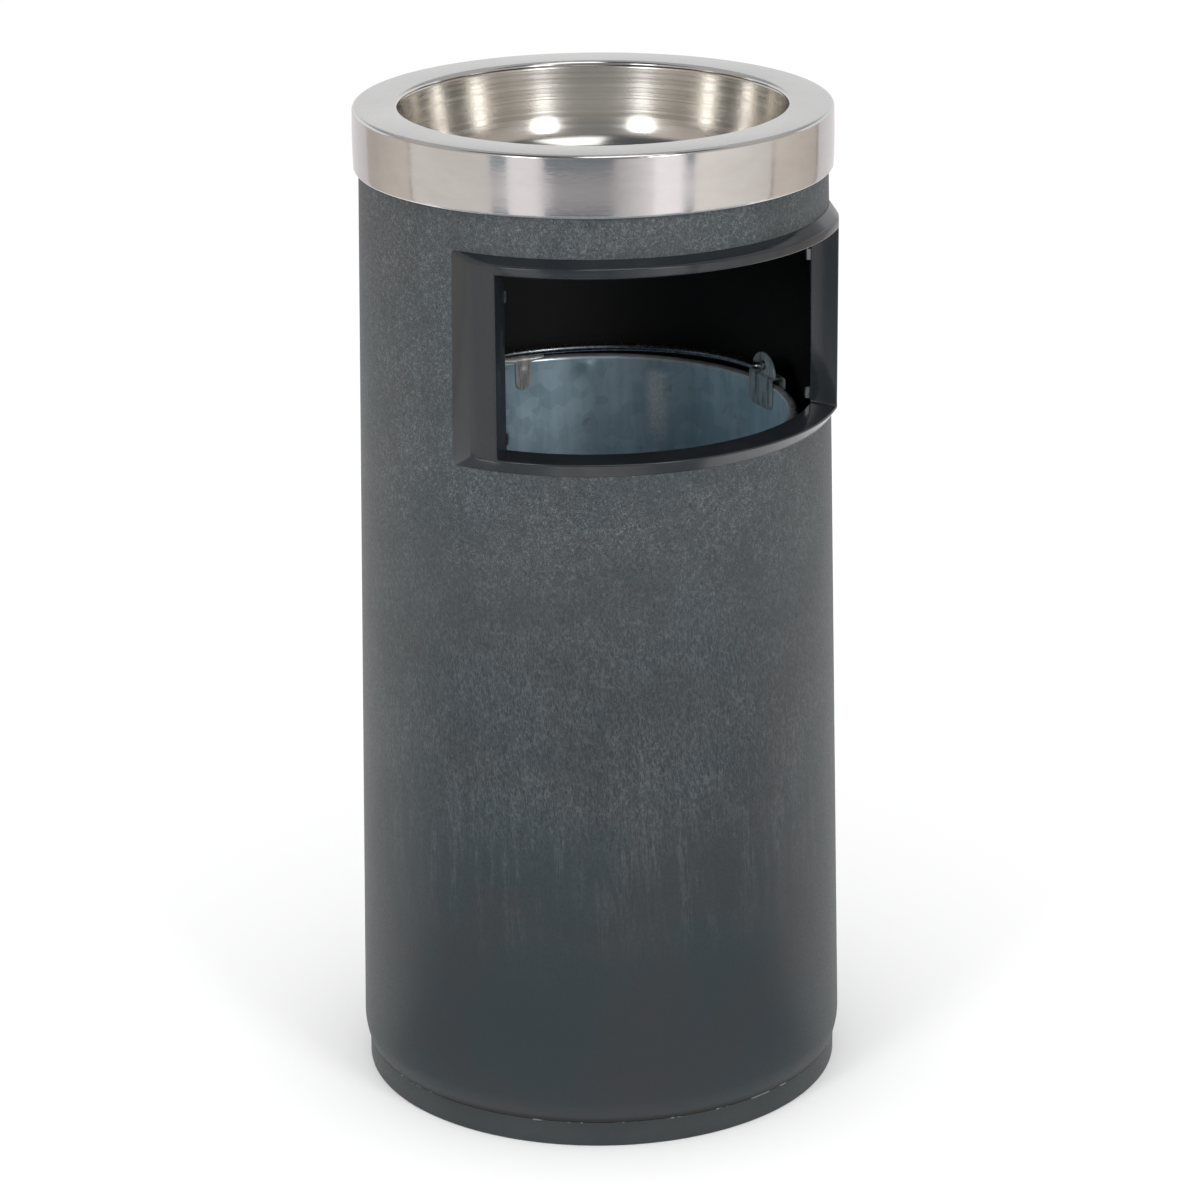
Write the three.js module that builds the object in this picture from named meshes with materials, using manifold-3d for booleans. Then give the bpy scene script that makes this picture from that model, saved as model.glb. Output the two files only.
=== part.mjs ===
// Ashtray bin: a moulded tube with a litter window, a lift-off steel ash head and a lift-out
// galvanised bucket. Millimetres, +Z up, origin at the centre of the flat underside, the
// litter window faces -Y. Angles are measured about Z from -Y towards +X.
import * as THREE from 'three';
import { mergeVertices } from 'three/addons/utils/BufferGeometryUtils.js';
import Module from 'manifold-3d';

const wasm = await Module();
wasm.setup();

// ---- driving dimensions --------------------------------------------------------------------
const overallHeight = 520;
const clearance = 0.3;
const roundSteps = 72;
const windowSteps = 42;
const cutOverrun = 4;

// tube
const bodyRadius = 127.8;
const bodyDraft = 0.01929;
const bodyWall = 3.5;
const bodyTopGap = 1.6;
const edgeRoundHeight = 12;
const edgeRoundInset = 2.3;

// base
const baseRadius = 125.1;
const baseHeight = 13.4;
const baseFloor = 3.5;
const baseChamfer = 1.2;
const spigotRadius = 123.5;
const spigotWall = 2.5;
const spigotTop = 38;
const baseScrewHeight = 26;
const screwShankRadius = 1.7;
const screwHeadRadius = 3.2;
const screwHeadHeight = 2.2;

// litter window and its frame
const openingHalfAngle = 49.7;
const openingBottom = 367.6;
const openingTop = 460.5;
const frameFaceRadius = 125.9;
const frameFaceHalfAngle = 56;
const frameFaceBottom = 366.8;
const frameFaceTop = 465.3;
const frameSideFall = 1.9;
const frameFlankHalfAngle = 62.6;
const frameFlankBottom = 360.1;
const frameFlankTop = 468.6;
const sleeveInnerRadius = 112;
const sleeveWall = 2.2;
const sillRise = 1.4;
const lowerClipHeight = openingBottom + 6;
const upperClipHeight = openingTop - 14.5;

// steel head
const ringRadius = 121.5;
const ringSheet = 1.2;
const skirtHeight = 31.1;
const mouthRadius = 98.2;
const ringEdgeRound = 2;
const bowlDepth = 50;
const bowlWallRadius = 99.2;
const bowlCornerRadius = 24;
const bowlFloorRadius = 71.6;
const bowlFloorRise = 1.5;
const bowlBend = 2.4;
const bowlSheet = 1.2;
const bowlFlangeRadius = 111.5;

// bucket
const rimRadius = 101.5;
const rimHeight = 357.3;
const rimWireRadius = 1.4;
const bucketSheet = 0.9;
const bucketTaper = 2.2;
const bucketFloorHeight = 9;

// saddles on the rim, and the bail
const saddleSheet = 1.2;
const saddleLegBottom = 343;
const saddleOuterBottom = 349;
const saddleOuterRadius = 105.9;
const saddleHalfWidth = 12.5;
const restLegHalfWidth = 4.6;
const restClipAngle = 176.4;
const earTop = 375.4;
const earLift = 3;
const earHalfWidth = 12.3;
const pivotHeight = 368.4;
const pivotHoleRadius = 2.5;
const bailWireRadius = 2;
const bailHalfSpan = 94.7;
const bailBend = 3;
const bailRestDrop = 4.5;
const bailStubEnd = 100.8;

// ---- worked-out dimensions -----------------------------------------------------------------
const seamHeight = baseHeight + 0.4;
const screwHoleRadius = screwShankRadius + clearance;
const screwHoleEnd = bodyRadius - 1.2;
const bodyTop = overallHeight - bodyTopGap;
const ringUnderside = overallHeight - ringSheet;
const bucketBottom = baseFloor + clearance;
const curlInner = rimWireRadius + clearance;
const curlOuter = curlInner + bucketSheet;
const wallInnerTop = rimRadius - curlOuter;
const saddleInnerRadius = wallInnerTop - clearance - saddleSheet;
const plateBottom = rimHeight + curlOuter + clearance;
const plateTop = plateBottom + saddleSheet;
const degrees = Math.PI / 180;
const sleeveDegrees = 1 / sleeveInnerRadius / degrees;
const sleeveHalfAngle = openingHalfAngle + sleeveWall * sleeveDegrees;

const outerAt = (z) => bodyRadius - (z - baseHeight) * bodyDraft;
const innerAt = (z) => outerAt(z) - bodyWall;

// ---- materials -----------------------------------------------------------------------------
const material = (color, roughness, metalness) =>
  new THREE.MeshStandardMaterial({ color, roughness, metalness });
const slatePlastic = () => material(0x4c5458, 0.62, 0);
const glossPlastic = () => material(0x3c4044, 0.32, 0);
const brushedSteel = () => material(0xc8c4bf, 0.3, 1);
const polishedSteel = () => material(0xb4aca2, 0.16, 1);
const galvanised = () => material(0x5a7382, 0.45, 0.85);
const zincWire = () => material(0x7d878c, 0.35, 0.9);
const springSteel = () => material(0x8c8e90, 0.4, 0.8);

// ---- solids --------------------------------------------------------------------------------
function signedVolume(position, index) {
  const a = new THREE.Vector3();
  const b = new THREE.Vector3();
  const c = new THREE.Vector3();
  let volume = 0;
  for (let i = 0; i < index.length; i += 3) {
    a.fromBufferAttribute(position, index[i]);
    b.fromBufferAttribute(position, index[i + 1]);
    c.fromBufferAttribute(position, index[i + 2]);
    volume += a.dot(b.cross(c));
  }
  return volume;
}

// Welds a closed surface, drops triangles that collapse on the axis and faces it outwards.
function solid(geometry) {
  geometry.deleteAttribute('normal');
  geometry.deleteAttribute('uv');
  const welded = mergeVertices(geometry, 1e-4);
  const position = welded.getAttribute('position');
  const source = welded.getIndex().array;
  const index = [];
  for (let i = 0; i < source.length; i += 3) {
    const [a, b, c] = [source[i], source[i + 1], source[i + 2]];
    if (a !== b && b !== c && c !== a) index.push(a, b, c);
  }
  if (signedVolume(position, index) < 0) index.reverse();
  const mesh = new wasm.Mesh({
    numProp: 3,
    vertProperties: new Float32Array(position.array),
    triVerts: new Uint32Array(index),
  });
  return new wasm.Manifold(mesh);
}

// A ring or dish turned about Z from [radius, height] pairs; a closed profile ends where it starts.
function turned(profile, closed = true) {
  const points = profile.map(([radius, height]) => new THREE.Vector2(radius, height));
  if (closed) points.push(points[0].clone());
  const geometry = new THREE.LatheGeometry(points, roundSteps);
  geometry.rotateX(Math.PI / 2);
  return solid(geometry);
}

// Profile points on an arc about [radius, height], angles in degrees from the outward direction.
function arc([radius, height], size, from, to, steps) {
  return Array.from({ length: steps + 1 }, (unused, i) => {
    const angle = (from + ((to - from) * i) / steps) * degrees;
    return [radius + size * Math.cos(angle), height + size * Math.sin(angle)];
  });
}

function onCircle(radius, angle, z) {
  return new THREE.Vector3(radius * Math.sin(angle * degrees), -radius * Math.cos(angle * degrees), z);
}

// A block bent about Z between an inner and an outer face, each with its own edges.
function bentBlock(inner, outer, steps = 1) {
  const geometry = new THREE.BoxGeometry(1, 1, 1, steps, 1, 1);
  const position = geometry.getAttribute('position');
  for (let i = 0; i < position.count; i += 1) {
    const face = position.getZ(i) > 0 ? outer : inner;
    const along = position.getX(i) + 0.5;
    const top = position.getY(i) > 0;
    const angle = face.from + (face.to - face.from) * along;
    const z = top ? face.top : face.bottom;
    const radius = typeof face.radius === 'function' ? face.radius(z, angle) : face.radius;
    const point = onCircle(radius, angle, z);
    position.setXYZ(i, point.x, point.y, point.z);
  }
  return solid(geometry);
}

// The same bent block with equal inner and outer edges.
function bentBar(innerRadius, outerRadius, from, to, bottom, top, steps = 1) {
  const edges = { from, to, bottom, top };
  return bentBlock({ ...edges, radius: innerRadius }, { ...edges, radius: outerRadius }, steps);
}

// A cylinder whose axis points outwards from the Z axis.
function radialCylinder(size, innerRadius, outerRadius, angle, z, sides = 16) {
  const geometry = new THREE.CylinderGeometry(size, size, outerRadius - innerRadius, sides);
  geometry.translate(0, (innerRadius + outerRadius) / 2, 0);
  geometry.rotateZ(Math.PI);
  geometry.rotateZ(angle * degrees);
  geometry.translate(0, 0, z);
  return solid(geometry);
}

function asMesh(name, manifold, finish) {
  const result = manifold.getMesh();
  const geometry = new THREE.BufferGeometry();
  geometry.setAttribute('position', new THREE.BufferAttribute(result.vertProperties, 3));
  geometry.setIndex(new THREE.BufferAttribute(result.triVerts, 1));
  geometry.computeVertexNormals();
  const mesh = new THREE.Mesh(geometry, finish);
  mesh.name = name;
  return mesh;
}

// ---- tube and base -------------------------------------------------------------------------
const baseScrewAngles = [45, 135, 225, 315];

function bodyShell() {
  const roundTop = seamHeight + edgeRoundHeight;
  const roundSize = (edgeRoundHeight ** 2 + edgeRoundInset ** 2) / (2 * edgeRoundInset);
  const roundSweep = Math.asin(edgeRoundHeight / roundSize) / degrees;
  const edgeRound = arc([outerAt(roundTop) - roundSize, roundTop], roundSize, -roundSweep, 0, 4);
  const tube = turned([
    ...edgeRound,
    [outerAt(bodyTop), bodyTop],
    [innerAt(bodyTop), bodyTop],
    [innerAt(seamHeight), seamHeight],
  ]);
  const windowHalfAngle = sleeveHalfAngle + clearance * sleeveDegrees;
  const window = bentBar(
    sleeveInnerRadius - cutOverrun,
    frameFaceRadius + cutOverrun,
    -windowHalfAngle,
    windowHalfAngle,
    openingBottom - sleeveWall - clearance,
    openingTop + sleeveWall + clearance,
    windowSteps,
  );
  const screwHoles = baseScrewAngles.map((angle) =>
    radialCylinder(screwHoleRadius, spigotRadius - cutOverrun, screwHoleEnd, angle, baseScrewHeight),
  );
  return screwHoles.reduce((body, hole) => body.subtract(hole), tube.subtract(window));
}

function baseCap() {
  const cap = turned(
    [
      [0, 0],
      [baseRadius - baseChamfer, 0],
      [baseRadius, baseChamfer],
      [baseRadius, baseHeight],
      [spigotRadius, baseHeight],
      [spigotRadius, spigotTop],
      [spigotRadius - spigotWall, spigotTop],
      [spigotRadius - spigotWall, baseFloor],
      [0, baseFloor],
    ],
    false,
  );
  const holes = baseScrewAngles.map((angle) =>
    radialCylinder(
      screwHoleRadius,
      spigotRadius - spigotWall - cutOverrun,
      spigotRadius + cutOverrun,
      angle,
      baseScrewHeight,
    ),
  );
  return holes.reduce((body, hole) => body.subtract(hole), cap);
}

function baseScrew(angle) {
  const seat = spigotRadius - spigotWall - clearance;
  const head = radialCylinder(screwHeadRadius, seat - screwHeadHeight, seat, angle, baseScrewHeight, 18);
  const shankEnd = screwHoleEnd - clearance;
  const shank = radialCylinder(screwShankRadius, seat - 1, shankEnd, angle, baseScrewHeight, 12);
  return head.add(shank);
}

// ---- window frame and its clips ------------------------------------------------------------
// The face lies level with the opening's edge and falls a little towards each side flank.
function frameFaceAt(z, angle) {
  const beyond = Math.max(0, Math.abs(angle) - openingHalfAngle);
  return frameFaceRadius - (frameSideFall * beyond) / (frameFaceHalfAngle - openingHalfAngle);
}

function apertureFrame() {
  const bezel = bentBlock(
    {
      from: -frameFlankHalfAngle,
      to: frameFlankHalfAngle,
      bottom: frameFlankBottom,
      top: frameFlankTop,
      radius: (z) => outerAt(z) + clearance,
    },
    {
      from: -frameFaceHalfAngle,
      to: frameFaceHalfAngle,
      bottom: frameFaceBottom,
      top: frameFaceTop,
      radius: frameFaceAt,
    },
    48,
  );
  const sleeve = bentBar(
    sleeveInnerRadius,
    frameFaceRadius - 2,
    -sleeveHalfAngle,
    sleeveHalfAngle,
    openingBottom - sleeveWall,
    openingTop + sleeveWall,
    windowSteps,
  );
  const edges = { from: -openingHalfAngle, to: openingHalfAngle, top: openingTop };
  const opening = bentBlock(
    { ...edges, bottom: openingBottom + sillRise, radius: sleeveInnerRadius - cutOverrun },
    { ...edges, bottom: openingBottom, radius: frameFaceRadius + cutOverrun },
    windowSteps,
  );
  return bezel.add(sleeve).subtract(opening);
}

// A bent spring strip: a hook over the sleeve's inner end, a leg along it and a foot on the tube.
function frameClip(side, z) {
  const width = 6;
  const strip = 0.9;
  const reach = 3;
  const footLength = 8;
  const bar = (innerRadius, outerRadius, from, to, steps) => {
    const [low, high] = side > 0 ? [from, to] : [-to, -from];
    return bentBar(innerRadius, outerRadius, low, high, z - width / 2, z + width / 2, steps);
  };
  const legStart = sleeveHalfAngle + 1.5 * clearance * sleeveDegrees;
  const legEnd = legStart + strip * sleeveDegrees;
  const footRadius = innerAt(z + width / 2) - 0.5;
  const hookTip = openingHalfAngle + 2 * clearance * sleeveDegrees;
  const lipEnd = hookTip + strip * sleeveDegrees;
  const hookEnd = sleeveInnerRadius - clearance;
  const hookStart = hookEnd - reach;
  const leg = bar(hookStart, footRadius, legStart, legEnd);
  const hook = bar(hookStart, hookStart + strip, hookTip, legEnd);
  const lip = bar(hookStart, hookEnd, hookTip, lipEnd);
  const foot = bar(footRadius - strip, footRadius, legStart, legEnd + footLength * sleeveDegrees, 3);
  return leg.add(hook).add(lip).add(foot);
}

// ---- steel head ----------------------------------------------------------------------------
function headRing() {
  const edge = ringEdgeRound;
  const inside = edge - ringSheet;
  const skirtBottom = overallHeight - skirtHeight;
  return turned([
    [ringRadius, skirtBottom],
    ...arc([ringRadius - edge, overallHeight - edge], edge, 0, 90, 2),
    ...arc([mouthRadius + edge, overallHeight - edge], edge, 90, 180, 2),
    ...arc([mouthRadius + edge, overallHeight - edge], inside, 180, 90, 1),
    ...arc([ringRadius - edge, overallHeight - edge], inside, 90, 0, 1),
    [ringRadius - ringSheet, skirtBottom],
  ]);
}

// The dish: a flange, a wall that leans in, a round corner and a floor that rises a little outwards.
function ashBowl() {
  const flangeTop = ringUnderside - 0.4;
  const bendCentre = [bowlWallRadius + bowlBend, flangeTop - bowlBend];
  const floorTop = overallHeight - bowlDepth;
  const cornerCentre = [bowlFloorRadius, floorTop + bowlFloorRise + bowlCornerRadius];
  const outerCorner = bowlCornerRadius + bowlSheet;
  return turned(
    [
      [0, floorTop],
      [bowlFloorRadius, floorTop + bowlFloorRise],
      ...arc(cornerCentre, bowlCornerRadius, -68, -8, 3),
      ...arc(bendCentre, bowlBend, 180, 90, 2),
      [bowlFlangeRadius, flangeTop],
      [bowlFlangeRadius, flangeTop - bowlSheet],
      ...arc(bendCentre, bowlBend - bowlSheet, 90, 180, 1),
      ...arc(cornerCentre, outerCorner, -8, -90, 3),
      [0, floorTop - bowlSheet],
    ],
    false,
  );
}

// ---- bucket --------------------------------------------------------------------------------
// A slightly tapered wall whose top edge curls outwards round the rim wire.
function bucketWall() {
  const centre = [rimRadius, rimHeight];
  return turned([
    [wallInnerTop - bucketTaper, bucketBottom],
    ...arc(centre, curlOuter, 180, -105, 6),
    ...arc(centre, curlInner, -105, 180, 6),
    [wallInnerTop - bucketTaper + bucketSheet, bucketBottom],
  ]);
}

function rimWire() {
  const ring = arc([rimRadius, rimHeight], rimWireRadius, 0, 300, 5);
  return turned(ring);
}

function bucketFloor() {
  const outer = wallInnerTop - bucketTaper - clearance;
  const inner = outer - bucketSheet;
  return turned(
    [
      [0, bucketFloorHeight],
      [inner, bucketFloorHeight],
      [inner, bucketBottom],
      [outer, bucketBottom],
      [outer, bucketFloorHeight + bucketSheet],
      [0, bucketFloorHeight + bucketSheet],
    ],
    false,
  );
}

// A strip folded over the rim: a leg inside the wall, a plate over the curl and a leg outside.
function rimSaddle(angle, plateHalfWidth, legHalfWidth, lift = 0) {
  const span = (halfWidth, radius) => halfWidth / radius / degrees;
  const legOuter = saddleInnerRadius + saddleSheet;
  const outerLeg = saddleOuterRadius - saddleSheet;
  const bar = (innerRadius, outerRadius, halfWidth, bottom, top) => {
    const half = span(halfWidth, rimRadius);
    return bentBar(innerRadius, outerRadius, angle - half, angle + half, bottom + lift, top + lift, 4);
  };
  const inside = bar(saddleInnerRadius, legOuter, legHalfWidth, saddleLegBottom, plateTop);
  const over = bar(saddleInnerRadius, saddleOuterRadius, plateHalfWidth, plateBottom, plateTop);
  const outside = bar(outerLeg, saddleOuterRadius, plateHalfWidth, saddleOuterBottom, plateTop);
  return inside.add(over).add(outside);
}

// The upright half-oval lug with the pivot hole, standing on a saddle.
function earLug() {
  const foot = plateTop + earLift - 0.4;
  const outline = new THREE.Shape();
  outline.moveTo(-earHalfWidth, foot);
  outline.lineTo(earHalfWidth, foot);
  outline.absellipse(0, foot, earHalfWidth, earTop - foot, 0, Math.PI, false, 0);
  const hole = new THREE.Path();
  hole.absarc(0, pivotHeight, pivotHoleRadius, 0, 2 * Math.PI, true);
  outline.holes.push(hole);
  const lug = new THREE.ExtrudeGeometry(outline, {
    depth: saddleSheet,
    bevelEnabled: false,
    curveSegments: 12,
  });
  lug.rotateX(Math.PI / 2);
  lug.rotateZ(Math.PI / 2);
  lug.translate(saddleInnerRadius, 0, 0);
  return solid(lug);
}

function bucketEar(side) {
  const ear = rimSaddle(90, saddleHalfWidth, saddleHalfWidth, earLift).add(earLug());
  return side > 0 ? ear : ear.rotate([0, 0, 180]);
}

function bailRestClip() {
  return rimSaddle(restClipAngle, saddleHalfWidth, restLegHalfWidth);
}

// ---- bail ----------------------------------------------------------------------------------
// Half of the wire's centre line, folded down towards +Y: pivot stub, bend, then the bow, which
// drops a little towards the rest clip.
function bailHalfLine(side) {
  const bendCentre = [bailHalfSpan + bailBend, bailBend];
  const bend = arc(bendCentre, bailBend, -90, -180, 4);
  const bow = arc([0, bailBend], bailHalfSpan, 6, 84, 13);
  return [[bailStubEnd, 0], [bailStubEnd - 1.5, 0], ...bend, ...bow].map(([x, y]) => bailPoint(side * x, y));
}

// A point of the bail's centre line at rest, lower the further it lies from the pivots.
function bailPoint(x, y) {
  return new THREE.Vector3(x, y, pivotHeight - (bailRestDrop * y) / (bailBend + bailHalfSpan));
}

function bailHandle() {
  const right = bailHalfLine(1);
  const left = bailHalfLine(-1).reverse();
  const top = bailPoint(0, bailBend + bailHalfSpan);
  const line = new THREE.CatmullRomCurve3([...right, top, ...left], false, 'centripetal');
  const section = new THREE.Shape();
  section.absarc(0, 0, bailWireRadius, 0, 2 * Math.PI, false);
  const wire = new THREE.ExtrudeGeometry(section, {
    extrudePath: line,
    steps: 80,
    bevelEnabled: false,
    curveSegments: 4,
  });
  return solid(wire);
}

// ---- assembly ------------------------------------------------------------------------------
const ashtrayBin = new THREE.Group();

function add(name, manifold, finish) {
  ashtrayBin.add(asMesh(name, manifold, finish));
}

add('body_shell', bodyShell(), slatePlastic());
add('base_cap', baseCap(), slatePlastic());
baseScrewAngles.forEach((angle, i) => add(`base_screw_${i + 1}`, baseScrew(angle), springSteel()));

add('aperture_frame', apertureFrame(), glossPlastic());
for (const [sideName, side] of [['left', -1], ['right', 1]]) {
  for (const [levelName, z] of [['lower', lowerClipHeight], ['upper', upperClipHeight]]) {
    add(`frame_clip_${sideName}_${levelName}`, frameClip(side, z), springSteel());
  }
}

add('head_ring', headRing(), brushedSteel());
add('ash_bowl', ashBowl(), polishedSteel());

add('bucket_wall', bucketWall(), galvanised());
add('bucket_rim_wire', rimWire(), zincWire());
add('bucket_bottom', bucketFloor(), galvanised());
add('bucket_ear_left', bucketEar(-1), galvanised());
add('bucket_ear_right', bucketEar(1), galvanised());
add('bail_rest_clip', bailRestClip(), galvanised());
add('bail_handle', bailHandle(), zincWire());

export default ashtrayBin;
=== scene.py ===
"""Ashtray bin: the fine surfaces, finishes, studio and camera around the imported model.

Metres, +Z up, the litter window faces -Y. Angles are measured about Z from -Y towards +X.
"""

import math

import bmesh
import bpy
from mathutils import Matrix, Vector


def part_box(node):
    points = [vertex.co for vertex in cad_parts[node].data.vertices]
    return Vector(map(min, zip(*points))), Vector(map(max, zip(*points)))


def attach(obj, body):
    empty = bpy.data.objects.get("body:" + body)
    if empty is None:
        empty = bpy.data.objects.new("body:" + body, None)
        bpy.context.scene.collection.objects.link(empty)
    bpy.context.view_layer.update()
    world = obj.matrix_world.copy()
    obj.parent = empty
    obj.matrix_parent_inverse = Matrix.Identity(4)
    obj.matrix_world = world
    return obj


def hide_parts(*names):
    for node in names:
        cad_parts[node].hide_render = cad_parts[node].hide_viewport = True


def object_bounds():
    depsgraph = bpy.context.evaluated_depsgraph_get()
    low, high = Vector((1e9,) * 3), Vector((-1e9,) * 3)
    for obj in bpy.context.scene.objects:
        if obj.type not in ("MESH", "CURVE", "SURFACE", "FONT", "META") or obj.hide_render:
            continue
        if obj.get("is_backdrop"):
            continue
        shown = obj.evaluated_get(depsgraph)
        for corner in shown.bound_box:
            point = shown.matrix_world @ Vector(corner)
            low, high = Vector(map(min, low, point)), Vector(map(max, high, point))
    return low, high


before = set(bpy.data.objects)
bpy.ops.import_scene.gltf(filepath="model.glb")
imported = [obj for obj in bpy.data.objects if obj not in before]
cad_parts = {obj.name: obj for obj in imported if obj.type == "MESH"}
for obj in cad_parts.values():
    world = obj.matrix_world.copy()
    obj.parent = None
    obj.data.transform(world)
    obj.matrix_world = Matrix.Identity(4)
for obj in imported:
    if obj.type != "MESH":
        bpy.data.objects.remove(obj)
CAD_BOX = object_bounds()

MM = 0.001

# ---- places and sizes, from the imported parts ----
SHELL_LOW, SHELL_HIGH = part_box("body_shell")
BASE_LOW, BASE_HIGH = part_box("base_cap")
FRAME_LOW, FRAME_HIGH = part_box("aperture_frame")
RING_LOW, RING_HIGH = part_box("head_ring")
BOWL_LOW, BOWL_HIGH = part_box("ash_bowl")
BUCKET_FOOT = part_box("bucket_wall")[0].z
FLOOR_LOW, FLOOR_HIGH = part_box("bucket_bottom")
EAR_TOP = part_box("bucket_ear_right")[1].z
BAIL_LOW, BAIL_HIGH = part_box("bail_handle")
REST_LOW, REST_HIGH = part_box("bail_rest_clip")

TOP = RING_HIGH.z
RING_RADIUS = RING_HIGH.x
BASE_RADIUS = BASE_HIGH.x
SEAM = SHELL_LOW.z
SHELL_TOP = SHELL_HIGH.z
BODY_RADIUS = 127.8 * MM
BODY_DRAFT = 0.01929
BODY_WALL = 3.5 * MM
BASE_STEP = 13.4 * MM

OPENING_HALF_ANGLE = 49.7
OPENING_BOTTOM = FRAME_LOW.z + 7.5 * MM
OPENING_TOP = FRAME_HIGH.z - 8.1 * MM
FRAME_RADIUS = -FRAME_LOW.y
SLEEVE_RADIUS = 112 * MM

MOUTH_RADIUS = 98.2 * MM
RIM_RADIUS = 101.5 * MM
RIM_HEIGHT = 357.3 * MM
WIRE_RADIUS = 2 * MM
PIVOT_HEIGHT = BAIL_HIGH.z - WIRE_RADIUS
BAIL_DROP = BAIL_HIGH.z - BAIL_LOW.z - 2 * WIRE_RADIUS
EAR_LIFT = 3 * MM
CURL_INNER = 1.7 * MM
CURL_OUTER = 2.6 * MM
SHEET = 0.9 * MM
WALL_TOP_RADIUS = RIM_RADIUS - CURL_OUTER
BUCKET_TAPER = 2.2 * MM
# azimuth of the painted highlight band on the bucket wall
HIGHLIGHT_BAND_ANGLE = 133.4

TURN_STEPS = 288


def body_radius(z):
    return BODY_RADIUS - (z - BASE_STEP) * BODY_DRAFT


def polar(radius, angle, z):
    a = math.radians(angle)
    return (radius * math.sin(a), -radius * math.cos(a), z)


def arc(centre, size, start, end, steps):
    """Points on an arc in the radius-height plane, angles in degrees from the outward direction."""
    out = []
    for i in range(steps + 1):
        a = math.radians(start + (end - start) * i / steps)
        out.append((centre[0] + size * math.cos(a), centre[1] + size * math.sin(a)))
    return out


def new_object(name, data):
    made = bpy.data.objects.new(name, data)
    bpy.context.scene.collection.objects.link(made)
    return made


# ---- mesh helpers ----
class Shape:
    """Collects vertices and faces of one piece."""

    def __init__(self):
        self.verts = []
        self.faces = []

    def add(self, verts, faces):
        base = len(self.verts)
        self.verts.extend(verts)
        self.faces.extend(tuple(base + i for i in face) for face in faces)
        return self

    def rows(self, rows, wrap=False, closed=False):
        """Quads between rows of equal length; wrap joins the row ends, closed joins last to first row."""
        count = len(rows[0])
        verts = [v for row in rows for v in row]
        faces = []
        for i in range(len(rows) if closed else len(rows) - 1):
            k = (i + 1) % len(rows)
            for j in range(count if wrap else count - 1):
                n = (j + 1) % count
                faces.append((i * count + j, i * count + n, k * count + n, k * count + j))
        return self.add(verts, faces)

    def make(self, name, body, finish, slot, node, sharp=35.0):
        mesh = bpy.data.meshes.new(name)
        mesh.from_pydata(self.verts, [], self.faces)
        tidy_mesh(mesh)
        mesh.polygons.foreach_set("use_smooth", [True] * len(mesh.polygons))
        mesh.set_sharp_from_angle(angle=math.radians(sharp))
        piece = new_object(name, mesh)
        mesh.materials.append(finish)
        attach(piece, body)
        if node:
            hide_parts(node)
        return piece


def tidy_mesh(mesh):
    """Merges the points that meet and turns every face outwards."""
    work = bmesh.new()
    work.from_mesh(mesh)
    bmesh.ops.remove_doubles(work, verts=work.verts, dist=1e-6)
    bmesh.ops.dissolve_degenerate(work, edges=work.edges, dist=1e-7)
    bmesh.ops.recalc_face_normals(work, faces=work.faces)
    work.to_mesh(mesh)
    work.free()


def turned(profile, closed=True, steps=TURN_STEPS):
    """A shape turned about Z from (radius, height) points."""
    shape = Shape()
    rows = [[polar(r, 360 * j / steps, z) for j in range(steps)] for r, z in profile]
    return shape.rows(rows, wrap=True, closed=closed)


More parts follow.
